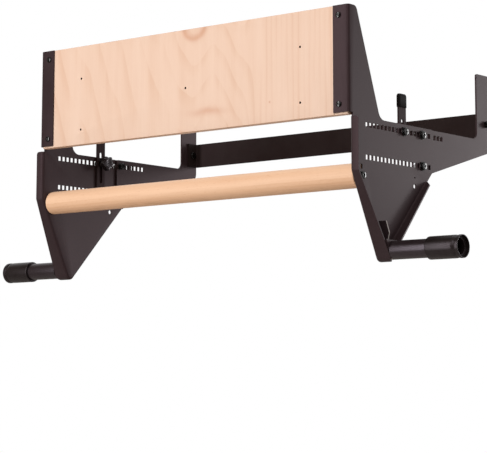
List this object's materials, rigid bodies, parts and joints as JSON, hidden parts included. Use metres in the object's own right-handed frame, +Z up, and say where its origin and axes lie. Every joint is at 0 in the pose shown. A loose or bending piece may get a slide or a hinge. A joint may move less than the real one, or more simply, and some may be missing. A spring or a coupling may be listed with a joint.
{
  "type": "doorway pull-up rig",
  "caption": "Doorway pull-up rig with a hangboard panel, round wooden bar, folded steel side plates, rear hooks, sliding support arms and outboard handle tubes.",
  "frame": {"origin": "in the mid-plane of the rig, on the near face of the door frame where both rubber sleeves bear, at the height of the handle tubes' axis", "axes": "+X along the bar to the user's right as they face the rig, +Y from the room through the doorway, +Z up"},
  "size_m": [0.964, 0.4098, 0.3922],
  "materials": {
    "painted_steel": "satin powder coat",
    "dark_steel": "satin powder coat",
    "tube_steel": "semi-gloss powder coat",
    "rubber": "matte",
    "knob_plastic": "matte",
    "plywood": "sanded, clear oil",
    "beech": "sanded, clear oil",
    "black_fastener": "semi-gloss black"
  },
  "bodies": {
    "frame": {"arm_bolt_left": "black_fastener", "arm_bolt_right": "black_fastener", "arm_washer_left": "black_fastener", "arm_washer_right": "black_fastener", "bar_screw_left": "black_fastener", "bar_screw_right": "black_fastener", "bar_washer_left": "black_fastener", "bar_washer_right": "black_fastener", "board": "plywood", "board_screw_lower_left": "black_fastener", "board_screw_lower_right": "black_fastener", "board_screw_upper_left": "black_fastener", "board_screw_upper_right": "black_fastener", "handle_tube_left": "tube_steel", "handle_tube_right": "tube_steel", "hook_bolt_lower_left": "black_fastener", "hook_bolt_lower_right": "black_fastener", "hook_bolt_upper_left": "black_fastener", "hook_bolt_upper_right": "black_fastener", "hook_inner_washer_lower_left": "black_fastener", "hook_inner_washer_lower_right": "black_fastener", "hook_inner_washer_upper_left": "black_fastener", "hook_inner_washer_upper_right": "black_fastener", "hook_nut_lower_left": "black_fastener", "hook_nut_lower_right": "black_fastener", "hook_nut_upper_left": "black_fastener", "hook_nut_upper_right": "black_fastener", "hook_plate_left": "painted_steel", "hook_plate_right": "painted_steel", "hook_washer_lower_left": "black_fastener", "hook_washer_lower_right": "black_fastener", "hook_washer_upper_left": "black_fastener", "hook_washer_upper_right": "black_fastener", "pull_up_bar": "beech", "rear_bar": "dark_steel", "rear_bar_bolt_left": "black_fastener", "rear_bar_bolt_right": "black_fastener", "rear_bar_nut_left": "black_fastener", "rear_bar_nut_right": "black_fastener", "side_plate_left": "painted_steel", "side_plate_right": "painted_steel", "tube_end_plate_left": "painted_steel", "tube_end_plate_right": "painted_steel", "tube_gusset_left": "painted_steel", "tube_gusset_right": "painted_steel", "tube_sleeve_left": "rubber", "tube_sleeve_right": "rubber"},
    "arm_right": {"support_arm_right": "painted_steel", "arm_cap_right": "rubber"},
    "arm_left": {"support_arm_left": "painted_steel", "arm_cap_left": "rubber"},
    "knob_right": {"star_knob_right": "knob_plastic"},
    "knob_left": {"star_knob_left": "knob_plastic"}
  },
  "joints": [
    {"name": "arm_right_slide", "type": "slide", "parent": "frame", "child": "arm_right", "axis": [0, 0, 1], "range_m": [-0.017, 0.031]},
    {"name": "knob_right_turn", "type": "hinge", "parent": "frame", "child": "knob_right", "pos_m": [0.31625, 0.0504, 0.1923], "axis": [-1, 0, 0], "range_deg": [0, 720]},
    {"name": "arm_left_slide", "type": "slide", "parent": "frame", "child": "arm_left", "axis": [0, 0, 1], "range_m": [-0.017, 0.031]},
    {"name": "knob_left_turn", "type": "hinge", "parent": "frame", "child": "knob_left", "pos_m": [-0.31625, 0.0504, 0.1923], "axis": [1, 0, 0], "range_deg": [0, 720]}
  ]
}
